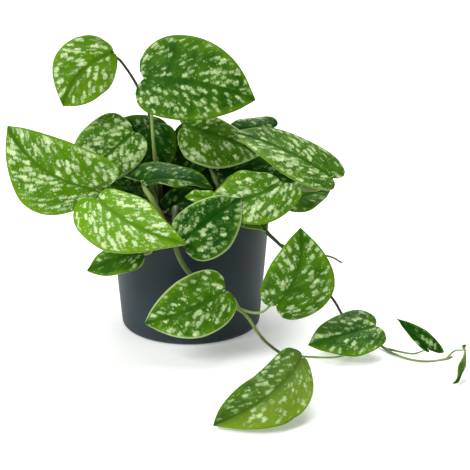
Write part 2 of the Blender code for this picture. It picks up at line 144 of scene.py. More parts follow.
class Wire:
    def __init__(self, tree, socket):
        self.tree = tree
        self.socket = socket

    def maths(self, operation, *others):
        node = self.tree.nodes.new("ShaderNodeMath")
        node.operation = operation
        for entry, value in zip(node.inputs, (self, *others)):
            plug(self.tree, value, entry)
        return Wire(self.tree, node.outputs[0])

    def __add__(self, other):
        return self.maths("ADD", other)

    def __sub__(self, other):
        return self.maths("SUBTRACT", other)

    def __mul__(self, other):
        return self.maths("MULTIPLY", other)

    def __truediv__(self, other):
        return self.maths("DIVIDE", other)

    def wave(self):
        return self.maths("SINE")

    def cosine(self):
        return self.maths("COSINE")

    def step(self, low, high):
        """0 below low and 1 above high, with a soft step between them."""
        node = self.tree.nodes.new("ShaderNodeMapRange")
        node.interpolation_type = "SMOOTHSTEP"
        plug(self.tree, self, node.inputs["Value"])
        plug(self.tree, low, node.inputs["From Min"])
        plug(self.tree, high, node.inputs["From Max"])
        return Wire(self.tree, node.outputs["Result"])


def put(tree, kind, settings=None, **entries):
    """A node of this kind, with its settings and its entries, whose names have _ for a space."""
    node = tree.nodes.new(kind)
    for key, value in (settings or {}).items():
        setattr(node, key, value)
    for key, value in entries.items():
        plug(tree, value, node.inputs[key.replace("_", " ")])
    return node


print("wires ready")

# %% [markdown]
# A Geometry Nodes tree works like a recipe with named amounts. Each tree gets its inputs here,
# and each object that uses it sets them by the sockets' identifiers before it is first evaluated.
# The result is then turned into a plain mesh, which exports and renders the same everywhere.

# %% Recipes: trees with named inputs, and plain meshes from them
SOCKETS = {float: "NodeSocketFloat", int: "NodeSocketInt", str: "NodeSocketMaterial"}


def recipe(name, amounts):
    """An empty tree, and a wire for each named input."""
    tree = bpy.data.node_groups.new(name, "GeometryNodeTree")
    tree.interface.new_socket("Geometry", in_out="OUTPUT", socket_type="NodeSocketGeometry")
    tree.interface.new_socket("Geometry", in_out="INPUT", socket_type="NodeSocketGeometry")
    for label, value in amounts.items():
        made = tree.interface.new_socket(label, in_out="INPUT", socket_type=SOCKETS[type(value)])
        if not isinstance(value, str):
            made.default_value = value
    source = tree.nodes.new("NodeGroupInput")
    return tree, {entry.name: Wire(tree, entry) for entry in source.outputs if entry.name}


def serve(tree, geometry, finish):
    """Ends a tree in Realize Instances and Set Material."""
    real = put(tree, "GeometryNodeRealizeInstances", Geometry=geometry)
    painted = put(tree, "GeometryNodeSetMaterial", Geometry=real.outputs[0], Material=finish)
    put(tree, "NodeGroupOutput", Geometry=painted.outputs[0])


def follow(made, tree, amounts):
    """Gives an object this tree as a modifier, with its inputs set."""
    modifier = made.modifiers.new(tree.name, "NODES")
    modifier.node_group = tree
    for item in tree.interface.items_tree:
        if item.in_out == "INPUT" and item.name in amounts:
            modifier[item.identifier] = amounts[item.name]


def plain(made):
    """The object as its modifiers leave it, as a plain mesh in a new object of the same name."""
    graph = bpy.context.evaluated_depsgraph_get()
    mesh = bpy.data.meshes.new_from_object(
        made.evaluated_get(graph), preserve_all_data_layers=True, depsgraph=graph
    )
    name = made.name
    bpy.data.objects.remove(made)
    mesh.name = name
    return link(name, mesh)


def field(tree, label):
    """A wire that reads a named attribute inside a Geometry Nodes tree."""
    node = put(tree, "GeometryNodeInputNamedAttribute", {"data_type": "FLOAT"}, Name=label)
    return Wire(tree, node.outputs["Attribute"])


print("recipes ready")

# %% [markdown]
# The plant's own measures follow. A leaf is set by where its stalk meets the blade, where its tip
# is and which way its upper side looks, and by a few amounts: its width as a share of its length,
# its arch in degrees, how much it folds along the midrib or sways to one side, how far its lobes
# reach, both alike (ovate) or one past the other (skew), how much wider one half is (split), and
# how drawn out the tip is (point). The row ends with the points that its stalk passes.
# A stem is the points that it passes from the soil on, its radius at shares of that way, and its
# aerial roots, each from one of those points. The numbers come from the photo for what it shows,
# and the other leaves and stems fill the plant's back.

# %% The leaves, one row each
Leaf = namedtuple(
    "Leaf", "name stem node joint tip face width arch fold sway skew ovate split point via",
    defaults=(0.80, 26, 0.20, 0.0, 0.0, 0.0, 0.0, 0.4, ()),
)
LEAVES = [
    Leaf("leaf_top_left", "stem_top", 3, (-54, -5, 206), (-89, -18, 169.5), (0, -10, 2), 0.84,
         sway=-0.12, skew=0.13, ovate=0.13, split=-0.03, point=-0.5,
         via=[(-26.5, -2, 146), (-30, 0, 164), (-38.5, 0, 183.5), (-47.6, -1, 198)]),
    Leaf("leaf_top_large", "stem_top", 3, (-30, -22, 190), (48, -30, 176), (0, -10, 4), 0.76,
         sway=0.04, skew=-0.03, split=0.08, point=0.2, via=[(-26, -12, 150), (-27, -12, 174)]),
    Leaf("leaf_left_outer", "stem_left", 3, (-63, -45, 115), (-127, -30, 158), (-3, -10, 5), 0.70,
         sway=0.125, skew=0.08, ovate=0.05, split=0.04, point=0.5, via=[(-48, -36, 106)]),
    Leaf("leaf_front_left", "stem_left", 2, (-61, -62, 113), (1, -88, 88), (0, -5, 9), 0.74,
         sway=-0.13, skew=0.14, split=-0.13, point=1.0, via=[(-44, -44, 103)]),
    Leaf("leaf_left_upper", "stem_top", 2, (-41, -5, 147.5), (-85, -20, 108), (-1, -10, 5), 0.78,
         split=-0.14, via=[(-33, -8, 118), (-42, -3, 134)]),
    Leaf("leaf_inner_upper", "stem_back", 1, (-20, 26, 135), (-71, 27, 138), (0, -10, 5), 0.74,
         via=[(-8, 36, 106), (-14, 36, 124)]),
    Leaf("leaf_inner_shaded", "stem_top", 1, (-31, 14, 148), (-27, 4, 109), (2, -10, 3), 1.0,
         via=[(-28, 10, 100), (-34, 15, 118), (-33, 18, 136)]),
    Leaf("leaf_centre_upper", "stem_right_upper", 2, (-4, 14, 149), (54, 12, 128), (0, -10, 7), 0.63,
         skew=-0.08, split=-0.3, via=[(10, 12, 128)]),
    Leaf("leaf_right_outer", "stem_right_upper", 4, (103, -25, 119), (32, -14, 150), (1, -4, 10), 0.66,
         skew=0.05, ovate=-0.03, split=-0.04, via=[(66, -16, 110), (90, -22, 109)]),
    Leaf("leaf_right_behind", "stem_back_right", 3, (61, 38, 142), (24, 35, 140), (0, -6, 10), 0.72,
         ovate=-0.2, via=[(50, 33, 126)]),
    Leaf("leaf_front_right", "stem_right_upper", 3, (65, -48, 120.5), (13, -53, 105), (0, -8, 8), 0.83,
         sway=0.10, skew=-0.31, via=[(48, -26, 113)]),
    Leaf("leaf_right_lower", "stem_right_upper", 1, (73, 0, 94), (105, 8, 101), (0, -6, 10), 0.93,
         split=0.12, via=[(34, 6, 98), (58, 0, 98)]),
    Leaf("leaf_rim_right", "stem_right_upper", 2, (31, -32, 104.5), (55.5, -60, 88.5), (0.5, -2.8, 10),
         0.75, split=-0.2, via=[(28, -14, 107)]),
    Leaf("leaf_front_centre", "stem_front", 3, (-2, -80, 89), (38, -58, 112.5), (0, -10, 5), 0.77,
         split=-0.19, via=[(-5, -70, 96)]),
    Leaf("leaf_centre_tilted", "stem_centre", 3, (-33, -29, 117.5), (18, -22, 110), (0, -5.5, 10), 0.52,
         arch=50, skew=-0.31, ovate=-0.05, split=0.45),
    Leaf("leaf_centre_young", "stem_right", 1, (19, -40, 106), (-2, -44, 110), (0, -8, 10), 0.7,
         via=[(26, -22, 97)]),
    Leaf("leaf_inner_low_left", "stem_left", 1, (-31, -20, 101), (-56, -18, 104), (0, -10, 10), 0.8,
         via=[(-27, -16, 92)]),
    Leaf("leaf_inner_low_right", "stem_top", 1, (-16, -14, 92), (6, -8, 106), (0, -10, 6), 0.8,
         via=[(-18, -7, 88)]),
    Leaf("leaf_rim_left", "stem_left", 1, (-32, -68, 76), (-71, -60, 60), (0, -8, 10), 0.62,
         via=[(-30, -46, 99), (-25, -62, 96), (-24, -69, 85)]),
    Leaf("leaf_hanging_front", "stem_front", 9, (26, -84, 53.5), (-29, -86, 30.5), (0, -10, 3), 0.71,
         sway=0.05, skew=-0.04, split=-0.01, via=[(33, -80, 46)]),
    Leaf("leaf_hanging_right", "stem_front", 9, (62, -85, 43.5), (78, -78, 97), (1, -10, 2), 0.86,
         sway=-0.12, skew=0.13, ovate=-0.03, split=-0.19, via=[(46, -80, 36), (53, -83, 38)]),
    Leaf("leaf_lying_front", "stem_front", 14, (77, -141, 27.5), (20, -190, 2.6), (0, -4.2, 9), 0.51,
         sway=0.125, skew=0.09, ovate=0.15, split=0.11, point=-1.2),
    Leaf("leaf_lying_right", "stem_front", 14, (133, -64, 20), (85, -74, 9.5), (0, -5, 10), 0.82,
         sway=0.05, skew=-0.025, ovate=-0.025,
         via=[(80, -121, 20), (98, -98, 10), (110, -78, 3.5), (124, -64, 4)]),
    Leaf("leaf_folded_right", "stem_right", 12, (170, -72, 5.8), (148, -64, 26), (0, -10, 3), 0.38,
         arch=8, fold=0.25, skew=0.2, ovate=-0.2, split=-0.5, point=1.6, via=[(158, -71, 2.0)]),
    Leaf("leaf_vine_end", "stem_right", 16, (190.5, -100, 16.5), (178.5, -125, 1.6), (3, -8, -3), 0.40,
         arch=40, fold=0.4),
    Leaf("leaf_inner_centre", "stem_back_right", 2, (7, 21, 146), (-4, 21, 106), (0, -10, 1), 0.85,
         via=[(20, 26, 112), (14, 25, 130)]),
    Leaf("leaf_inner_right", "stem_back_right", 2, (20, 19, 114), (84, 15, 109), (0, -10, 3), 0.42,
         arch=16, via=[(22, 27, 107)]),
    Leaf("leaf_inner_back", "stem_back_right", 2, (20, 31.5, 107), (-20, 28, 120), (0, -10, 1), 0.70,
         arch=10, via=[(28, 35, 102)]),
    Leaf("leaf_inner_left", "stem_back_left", 1, (-36, 16, 111), (-68, 12, 106), (0, -10, 4), 0.55,
         arch=16, via=[(-28, 18, 96)]),
    Leaf("leaf_back_left_high", "stem_back_left", 3, (-45, 32, 122), (-92, 64, 106), (-2, 0, 10),
         via=[(-40, 34, 113)]),
    Leaf("leaf_back_left", "stem_back_left", 3, (-42, 42, 106), (-78, 92, 86), (-3, 4, 10),
         via=[(-38, 38, 102)]),
    Leaf("leaf_left_low", "stem_back_left", 2, (-52, 20, 98), (-98, 30, 88), (-4, 0, 10),
         via=[(-42, 22, 95)]),
    Leaf("leaf_back_high", "stem_back", 2, (-8, 36, 136), (-24, 86, 124), (0, 2, 10),
         via=[(-4, 34, 118)]),
    Leaf("leaf_back_right_high", "stem_back_right", 3, (25, 46, 132), (52, 88, 114), (2, 3, 10),
         via=[(30, 40, 120)]),
    Leaf("leaf_back_right", "stem_back_right", 3, (48, 38, 118), (92, 66, 102), (3, 1, 10),
         via=[(40, 32, 113)]),
    Leaf("leaf_back_right_low", "stem_back_right", 2, (52, 30, 102), (88, 70, 82), (5, 4, 10),
         via=[(42, 27, 102)]),
    Leaf("leaf_back_centre", "stem_back", 3, (5, 52, 116), (10, 102, 100), (0, 4, 10),
         via=[(0, 48, 110)]),
    Leaf("leaf_back_rim_left", "stem_back_left", 2, (-36, 58, 99), (-64, 92, 64), (-5, 7, 10),
         via=[(-31, 44, 102)]),
    Leaf("leaf_back_rim_right", "stem_back_right", 2, (36, 58, 99), (58, 94, 62), (5, 7, 10),
         via=[(30, 44, 102)]),
    Leaf("leaf_back_hanging", "stem_back", 4, (-5, 76, 92), (-6, 98, 44), (0, 10, 4),
         via=[(-4, 72, 96)]),
]

print(len(LEAVES), "leaves")

# %% The stems, by the points that they pass
Stem = namedtuple("Stem", "name route radii roots", defaults=((),))
STEMS = [
    Stem(
        "stem_front",
        [(-6, -30, 63), (-6, -31, 84), (-7, -44, 99), (-8, -57, 104), (-8, -66, 97), (-8, -68, 84),
         (-4, -68, 70), (6, -71, 57), (21, -75, 45), (36, -77, 38), (43, -81, 32), (48, -91, 27.5),
         (54, -106, 25), (61, -121, 24.5), (66, -133, 26)],
        [(0, 2.2), (0.35, 2.0), (0.55, 1.7), (0.68, 1.2), (1, 0.95)],
    ),
    Stem(
        "stem_right",
        [(28, -12, 63), (30, -13, 84), (40, -20, 100), (49, -28, 102), (53.5, -35, 94), (55.5, -40, 84),
         (65, -44, 75), (81, -46, 59), (103, -44, 35), (112, -42, 20), (122, -43, 9), (135, -52, 3.4),
         (141, -61, 1.9), (146, -70, 1.5), (156, -80.5, 1.5), (168, -86, 2.2), (180, -89, 5.2),
         (184, -90.5, 7.5)],
        [(0, 2.1), (0.27, 1.7), (0.38, 1.0), (0.85, 0.85), (1, 0.7)],
        [(6, [(84, -50, 70), (100, -56, 69.5), (109, -59, 65.5)])],
    ),
    Stem(
        "stem_left",
        [(-24, -22, 63), (-25, -23, 84), (-29, -27, 95), (-33, -30, 103)],
        [(0, 2.3), (1, 1.8)],
    ),
    Stem("stem_top", [(-20, 2, 63), (-21, 1, 86), (-23, 0, 108), (-25, -4, 126)], [(0, 2.3), (1, 1.7)]),
    Stem(
        "stem_centre",
        [(-16, -39, 63), (-15, -39, 84), (-19, -37, 94), (-26, -34.5, 106), (-31.5, -31.5, 114)],
        [(0, 2.1), (1, 1.6)],
    ),
    Stem(
        "stem_right_upper",
        [(14, 6, 63), (16, 5, 86), (22, 2, 103), (31, -3, 113), (42, -9, 116)],
        [(0, 2.3), (1, 1.8)],
    ),
    Stem(
        "stem_back_left",
        [(-24, 22, 63), (-25, 24, 84), (-29, 29, 97), (-35, 34, 106)],
        [(0, 2.2), (1, 1.7)],
    ),
    Stem(
        "stem_back_right",
        [(22, 24, 63), (23, 25, 84), (27, 28, 99), (33, 31, 110)],
        [(0, 2.2), (1, 1.7)],
    ),
    Stem(
        "stem_back",
        [(-2, 34, 63), (-2, 35, 84), (-2, 41, 98), (-3, 52, 104), (-4, 64, 100)],
        [(0, 2.2), (1, 1.7)],
    ),
]

print(len(STEMS), "stems")

# %% [markdown]
# A real leaf grows by its veins. The lateral veins leave the midrib one after another and end at
# the margin, and the first of them fan out from the joint into the two lobes. So the blank of a
# leaf is drawn on that net: one way runs through the veins in their order, from the notch to the
# tip, and the other runs out from the midrib to the margin. The net bends with the blade, and the
# silver blotches can follow it later, as they do on the plant: each corner keeps the way in which
# its vein runs.

# %% A flat blank on the net of veins
VEIN_STEPS = 56
OUT_STEPS = 20
INNER_LOBE = [(0.0, 0.0), (-0.03, 0.07), (-0.055, 0.19), (-0.065, 0.40)]
OUTER_MARGIN = [
    (-0.065, 0.40), (-0.03, 0.67), (0.06, 0.88), (0.20, 0.99), (0.38, 1.00),
    (0.56, 0.91), (0.72, 0.72), (0.85, 0.46), (0.945, 0.18), (1.0, 0.0),
]
FAN_SHARE = 1 / 3
FAN_EASE = 0.12
VEIN_BOW = 0.05
POINT_START = 0.45
POINT_DEPTH = 0.35
BLOTCH_SWEEP = 0.7
SHORTEST_VEIN = 0.01
MERGE_METRES = 1e-7


def smooth_at(points, share):
    """The point at this share of a smooth curve that passes through the given ones."""
    ends = [2 * points[0] - points[1], *points, 2 * points[-1] - points[-2]]
    place = share * (len(points) - 1)
    span = min(int(place), len(points) - 2)
    s = place - span
    a, b, c, d = ends[span:span + 4]
    curve = 2 * b + (c - a) * s + (2 * a - 5 * b + 4 * c - d) * s**2 + (3 * b - a - 3 * c + d) * s**3
    return 0.5 * curve


MARGIN_POINTS = [Vector(point) for point in OUTER_MARGIN]
LOBE_POINTS = [Vector(point) for point in INNER_LOBE]
LOBE_CURVE = [smooth_at(LOBE_POINTS, step / OUT_STEPS) for step in range(OUT_STEPS + 1)]


def vein_root(row):
    """Where the vein of this row leaves the midrib, in shares of the leaf's length."""
    return Vector((max(0, (row - FAN_SHARE) / (1 - FAN_SHARE)), 0))


def flat_place(leaf, length, half_width, row, side, step):
    """(along, across, distance from the midrib) in millimetres, on the flat blank."""
    t = step / OUT_STEPS
    hollow = (LOBE_CURVE[step] - t * LOBE_POINTS[-1]) * max(0, 1 - row / FAN_EASE) ** 2
    along, across = vein_root(row).lerp(smooth_at(MARGIN_POINTS, row), t) + hollow
    along -= VEIN_BOW * 4 * t * (1 - t) * math.sin(math.pi * row)
    across *= 1 - leaf.point * POINT_DEPTH * max(0, along - POINT_START) / (1 - POINT_START)
    along += (leaf.skew * side + leaf.ovate) * across * (1 - along) ** 2
    from_midrib = side * across * half_width * (1 + side * leaf.split)
    swayed = leaf.sway * length * 4 * along * (1 - along)
    return along * length, from_midrib + swayed, from_midrib


def blank(leaf, length, half_width, looks, streak):
    """The flat leaf as a mesh, with the net of veins and the leaf's own look kept as attributes."""
    shape = bmesh.new()
    numbers = {
        label: shape.verts.layers.float.new(label)
        for label in ("vein", "out", "side", "from_midrib", *looks)
    }
    on_leaf = shape.verts.layers.float_vector.new("leaf_mm")
    vein_way = shape.verts.layers.float_vector.new("vein_way")
    net = []
    for step_along in range(VEIN_STEPS + 1):
        row = step_along / VEIN_STEPS
        reach = smooth_at(MARGIN_POINTS, row) - vein_root(row)
        sideways = reach.y * half_width
        line = []
        for column in range(-OUT_STEPS, OUT_STEPS + 1):
            side = 1 if column > 0 else -1
            along, across, midrib = flat_place(leaf, length, half_width, row, side, abs(column))
            corner = shape.verts.new((along * MM, across * MM, 0))
            values = {"vein": row, "out": abs(column) / OUT_STEPS, "side": side}
            values["from_midrib"] = midrib * MM
            for label, value in {**values, **looks}.items():
                corner[numbers[label]] = value
            corner[on_leaf] = (along, midrib, 0)
            way = Vector((reach.x * length + BLOTCH_SWEEP * sideways, side * sideways, 0))
            if way.length > SHORTEST_VEIN:
                corner[vein_way] = streak * way.normalized()
            else:
                corner[vein_way] = (streak, 0, 0)
            line.append(corner)
        net.append(line)
    for near, far in zip(net, net[1:]):
        for i in range(len(near) - 1):
            shape.faces.new((near[i], far[i], far[i + 1], near[i + 1]))
    bmesh.ops.remove_doubles(shape, verts=shape.verts, dist=MERGE_METRES)
    mesh = bpy.data.meshes.new(leaf.name + "_blank")
    shape.to_mesh(mesh)
    shape.free()
    return mesh


print("a blank has", VEIN_STEPS * OUT_STEPS * 2, "faces")

# %% [markdown]
# Now the blank is given its form. A live blade is never flat: its halves rise from the midrib and
# droop again towards the margin, the margin waves, the whole blade twists a little and arches
# towards the tip. That is one rule for every leaf, with other amounts, so it is a Geometry Nodes
# tree. The midrib is pressed in as a groove, and the skin is quilted between the lateral veins.

# %% The leaf's form as a recipe
FOLD_SOFTNESS = 3.0
EDGE_DROOP = 1.1
WAVES = 2.5
WAVE_HEIGHTS = (0.6, 1.5)
TWISTS = (-6.0, 6.0)
LATERAL_VEINS = 13
GROOVE_WIDTH = 0.9
GROOVE_DEPTH = 0.4
QUILTING = 0.2
TIP_CALM = 4.0


def leaf_form():
    tree, amount = recipe("Leaf form", {
        "Length": 0.08, "Half width": 0.03, "Fold": 0.2, "Wave height": 0.001, "Left phase": 0.0,
        "Right phase": 0.0, "Twist": 0.0, "Arch": 0.45, "Skin": "",
    })
    start = put(tree, "GeometryNodeInputPosition").outputs[0]
    spot = put(tree, "ShaderNodeSeparateXYZ", Vector=start)
    along = Wire(tree, spot.outputs["X"])
    across = Wire(tree, spot.outputs["Y"])
    vein, out, side, midrib = (
        field(tree, label) for label in ("vein", "out", "side", "from_midrib")
    )
    length = amount["Length"]
    soft = FOLD_SOFTNESS * MM
    lift = amount["Fold"] * ((midrib * midrib + soft**2).maths("SQRT") - soft)
    lift = lift - amount["Fold"] * midrib * midrib * EDGE_DROOP / amount["Half width"]
    left, right = amount["Left phase"], amount["Right phase"]
    phase = right + (left - right) * (side * 0.5 + 0.5)
    calm = vein.maths("POWER", TIP_CALM) * -1 + 1
    waves = (vein * math.tau * WAVES + phase).wave()
    lift = lift + amount["Wave height"] * calm * out * out * waves
    groove = (midrib * midrib * (-1 / (GROOVE_WIDTH * MM) ** 2)).maths("EXPONENT")
    lift = lift - groove * (GROOVE_DEPTH * MM)
    ridge = (vein * math.pi * LATERAL_VEINS).wave()
    lift = lift + ridge * ridge * out * (out * -1 + 1) * 4 * (QUILTING * MM)
    turn = amount["Twist"] * (along / length - 0.5)
    rolled = across * turn.cosine() - lift * turn.wave()
    lift = across * turn.wave() + lift * turn.cosine()
    bend = amount["Arch"] * along / length
    radius = length / amount["Arch"]
    forward = (radius + lift) * bend.wave()
    rise = (radius + lift) * bend.cosine() - radius
    half = amount["Arch"] * 0.5
    place = put(
        tree, "ShaderNodeCombineXYZ", X=forward * half.cosine() - rise * half.wave(), Y=rolled,
        Z=forward * half.wave() + rise * half.cosine(),
    )
    flat = amount["Geometry"]
    bent = put(tree, "GeometryNodeSetPosition", Geometry=flat, Position=place.outputs[0])
    smooth = put(tree, "GeometryNodeSetShadeSmooth", Geometry=bent.outputs[0])
    serve(tree, smooth.outputs[0], amount["Skin"])
    return tree


LEAF_FORM = leaf_form()
print("the leaf's recipe has", len(LEAF_FORM.nodes), "nodes")

# %% [markdown]
# The finish of this leaf is what gives the plant its name. The skin is a deep velvety green that
# turns yellower towards the margin and on young leaves. Silver blotches lie on it in broken
# streaks along the lateral veins. They are missing on the midrib and stop short of the margin.
# An image would need unwrapping and would blur close up, so the blotches are random spots, read
# on the leaf's own coordinates in millimetres. Each spot is read three times, a step further along
# its vein each time, so it grows longer the way that the vein runs. Every leaf reads another part
# of the pattern. The underside is paler, with its veins paler still, and the thin edge is the
# palest green.

# %% Helpers for finishes
def paint(red, green, blue):
    """A linear colour from display values out of 255."""
    display = [value / 255 for value in (red, green, blue)]
    return (*(((c + 0.055) / 1.055) ** 2.4 if c > 0.04045 else c / 12.92 for c in display), 1)


def finish(name, **constants):
    """A new material, its tree and its shader, with numbers set on the shader's own sockets."""
    made = bpy.data.materials.new(name)
    made.use_nodes = True
    shader = made.node_tree.nodes["Principled BSDF"]
    for key, value in constants.items():
        shader.inputs[key.replace("_", " ")].default_value = value
    return made, made.node_tree, shader


def attribute(tree, label, output="Fac"):
    """A wire that reads a named attribute inside a finish."""
    return Wire(tree, put(tree, "ShaderNodeAttribute", {"attribute_name": label}).outputs[output])


def pushed(tree, place, way, share):
    """A place moved by this share of a way, part by part."""
    node = put(tree, "ShaderNodeVectorMath", {"operation": "MULTIPLY_ADD"})
    for entry, value in zip(node.inputs, (way, share, place)):
        plug(tree, value, entry)
    return node.outputs[0]


def shifted(tree, vector, number):
    """A vector moved along its third part, so that each leaf reads other noise."""
    along_z = put(tree, "ShaderNodeCombineXYZ", Z=number)
    node = tree.nodes.new("ShaderNodeVectorMath")
    plug(tree, vector, node.inputs[0])
    plug(tree, along_z.outputs[0], node.inputs[1])
    return node.outputs[0]


def noise(tree, vector, scale, detail, roughness=0.5):
    """Cloudy noise around 0.5, with this many clouds to a unit of the vector."""
    node = put(
        tree, "ShaderNodeTexNoise", Vector=vector, Scale=scale, Detail=detail, Roughness=roughness
    )
    return Wire(tree, node.outputs[0])


def blend_colours(tree, share, one, other):
    """One colour where the share is 0, and the other where it is 1."""
    node = put(tree, "ShaderNodeMix", {"data_type": "RGBA"}, Factor=share)
    plug(tree, one, node.inputs[6])
    plug(tree, other, node.inputs[7])
    return node.outputs[2]


def coat(tree, shader, colour):
    """Gives the shader this colour."""
    plug(tree, colour, shader.inputs["Base Color"])


def bump(tree, shader, height, depth):
    """Relief of this depth in metres, from a height between 0 and 1."""
    node = put(tree, "ShaderNodeBump", Strength=1.0, Distance=depth, Height=height)
    tree.links.new(node.outputs["Normal"], shader.inputs["Normal"])


print("finish helpers ready")

# %% The pale floor's finish
floor_finish, _, _ = finish(
    "pale_floor", Base_Color=paint(247, 247, 247), Roughness=0.9, Emission_Color=(1, 1, 1, 1),
    Emission_Strength=0.25,
)
floor_mesh.materials.append(floor_finish)
print("floor painted")

# %% The leaf's upper skin
DEEP_GREEN = paint(18, 66, 4)
FRESH_GREEN = paint(93, 142, 0)
MARGIN_GREEN = paint(104, 146, 4)
DULL_SILVER = paint(118, 152, 86)
BRIGHT_SILVER = paint(206, 226, 168)
RIM_PALE = paint(170, 196, 130)
HAZE_GREEN = paint(92, 134, 58)
OLIVE_SHEEN_GREEN = paint(132, 156, 32)
BLOTCH_SPACING = 3.9
BLOTCH_STRETCH = 1.0
SPECK_SPACING = 1.9
SPOT_CHANCE = 0.34
PATTERN_APART = 40
PATCH_SCALE, SHINE_SCALE, MOTTLE_SCALE, GRAIN_SCALE = 0.07, 0.25, 0.09, 1.4
COARSE_SHAKE, FINE_SHAKE = (0.45, 2.8), (1.7, 1.2)
SILVER_GAIN, PATCH_GAIN, LEAST_SILVER = 0.38, 0.5, -0.085
SPECKS_SMALLER = 0.13
RAGGEDNESS = 0.32
CLEAR_MIDRIB = (0.9 * MM, 2.6 * MM)
MIDRIB_WANDER = 3.0 * MM
CLEAR_MARGIN, CLEAR_TIP = (0.02, 0.08), (0.01, 0.06)
BLOTCH_EDGE, HAZE_EDGE, HAZE_SHARE = (-0.08, 0.22), (-0.35, 0.10), 0.3
MARGIN_BAND, RIM_BAND = (0.72, 1.02), (0.93, 0.98)
MIDRIB_SHADE, MIDRIB_SHADE_SHARE = (0.2 * MM, 5.0 * MM), 0.35
SKIN_RELIEF = 0.12 * MM
BACK_RELIEF = 0.3 * MM


def shaken(tree, place, scale, reach):
    """A place pushed about by noise, up to about half of reach, for spots with ragged outlines."""
    shake = put(tree, "ShaderNodeTexNoise", Vector=place, Scale=scale, Detail=2.0)
    return pushed(tree, place, shake.outputs["Color"], (reach, reach, 0))


def spots(tree, vector, spacing, generous):
    """Spots of random size at random places: above 0 inside a spot, below 0 outside."""
    net = put(tree, "ShaderNodeTexVoronoi", {"feature": "F1"}, Vector=vector, Scale=1 / spacing)
    parts = put(tree, "ShaderNodeSeparateColor", Color=net.outputs["Color"])
    chance = Wire(tree, parts.outputs[0])
    return generous + chance * SPOT_CHANCE - Wire(tree, net.outputs["Distance"])


def leaf_skin():
    made, tree, shader = finish("satin_leaf_skin", Specular_IOR_Level=0.05)
    seed, fresh, silver, rim, olive, side, out, vein = (
        attribute(tree, label)
        for label in ("seed", "fresh", "silver", "rim", "olive", "side", "out", "vein")
    )
    midrib = attribute(tree, "from_midrib").maths("ABSOLUTE")
    place = shifted(tree, attribute(tree, "leaf_mm", "Vector"), seed * PATTERN_APART)
    way = attribute(tree, "vein_way", "Vector")
    patches = noise(tree, place, PATCH_SCALE, 1.0)
    shine = noise(tree, place, SHINE_SCALE, 1.0)
    mottle = noise(tree, place, MOTTLE_SCALE, 3.0)
    grain = noise(tree, place, GRAIN_SCALE, 2.0)
    ragged = shaken(tree, shaken(tree, place, *COARSE_SHAKE), *FINE_SHAKE)
    generous = silver * SILVER_GAIN + (patches - 0.5) * PATCH_GAIN + LEAST_SILVER
    big = None
    for share in (-BLOTCH_STRETCH, 0, BLOTCH_STRETCH):
        further = pushed(tree, ragged, way, (share, share, 0))
        blob = spots(tree, further, BLOTCH_SPACING, generous)
        big = blob if big is None else big.maths("MAXIMUM", blob)
    small = spots(tree, ragged, SPECK_SPACING, generous - SPECKS_SMALLER)
    rough = (grain - 0.5) * RAGGEDNESS
    clear = (midrib + (mottle - 0.5) * MIDRIB_WANDER).step(*CLEAR_MIDRIB)
    clear = clear * (out * -1 + 1).step(*CLEAR_MARGIN) * (vein * -1 + 1).step(*CLEAR_TIP)
    blotch = (big.maths("MAXIMUM", small) + rough).step(*BLOTCH_EDGE) * clear
    haze = (big + rough).step(*HAZE_EDGE) * clear * HAZE_SHARE
    # Each leaf's youth share runs from deep green to yellow-green here, and below from dull to bright
    # silver. The low shares of the inner leaves are painted shade.
    green = blend_colours(tree, fresh + (mottle - 0.5) * 0.8, DEEP_GREEN, FRESH_GREEN)
    # On a few leaves the left half turns to a lighter olive towards its margin. This is partly the
    # leaf's own tone and partly painted sheen.
    green = blend_colours(tree, olive * (side * out * 0.5 + 0.5), green, OLIVE_SHEEN_GREEN)
    edge = (out + (mottle - 0.5) * 0.4).step(*MARGIN_BAND) * (fresh * 0.4 + 0.35)
    green = blend_colours(tree, edge, green, MARGIN_GREEN)
    dark = (midrib.step(*MIDRIB_SHADE) * -1 + 1) * MIDRIB_SHADE_SHARE
    green = blend_colours(tree, dark, green, DEEP_GREEN)
    green = blend_colours(tree, haze, green, HAZE_GREEN)
    pale = blend_colours(tree, fresh * 0.7 + (shine - 0.3) * 1.6, DULL_SILVER, BRIGHT_SILVER)
    colour = blend_colours(tree, blotch * (grain * 0.8 + 0.5), green, pale)
    coat(tree, shader, blend_colours(tree, out.step(*RIM_BAND) * rim, colour, RIM_PALE))
    plug(tree, blotch * 0.06 + 0.46, shader.inputs["Roughness"])
    lines = (vein * math.pi * LATERAL_VEINS * 4).wave().maths("ABSOLUTE")
    bump(tree, shader, lines * 0.4 + grain * 0.5 + blotch * 0.4, SKIN_RELIEF)
    return made


def leaf_back():
    made, tree, shader = finish(
        "pale_leaf_underside", Roughness=0.6, Sheen_Weight=0.1, Sheen_Roughness=0.4
    )
    vein, fresh = attribute(tree, "vein"), attribute(tree, "fresh")
    midrib = attribute(tree, "from_midrib").maths("ABSOLUTE")
    mottle = noise(tree, attribute(tree, "leaf_mm", "Vector"), 0.12, 3.0)
    # Where the youth share is low the underside is darker too, which carries the painted shade of the
    # inner leaves.
    young = mottle + (fresh - 0.3) * 0.5
    green = blend_colours(tree, young, paint(88, 124, 58), paint(134, 164, 86))
    rib = midrib.step(0.4 * MM, 1.6 * MM) * -1 + 1
    lines = ((vein * math.pi * LATERAL_VEINS).wave().maths("ABSOLUTE") * -1 + 1).step(0.8, 1.0)
    ribs = (rib * 0.7).maths("MAXIMUM", lines * 0.35)
    coat(tree, shader, blend_colours(tree, ribs, green, paint(158, 180, 104)))
    bump(tree, shader, rib * 0.8 + lines * 0.4 + mottle * 0.3, BACK_RELIEF)
    return made


def leaf_edge():
    made, tree, shader = finish("thin_leaf_edge", Roughness=0.5)
    mottle = noise(tree, attribute(tree, "leaf_mm", "Vector"), 0.3, 2.0)
    coat(tree, shader, blend_colours(tree, mottle, paint(120, 160, 60), paint(176, 200, 120)))
    return made


SKIN, BACK, EDGE = leaf_skin(), leaf_back(), leaf_edge()
print("leaf finishes:", SKIN.name, BACK.name, EDGE.name)
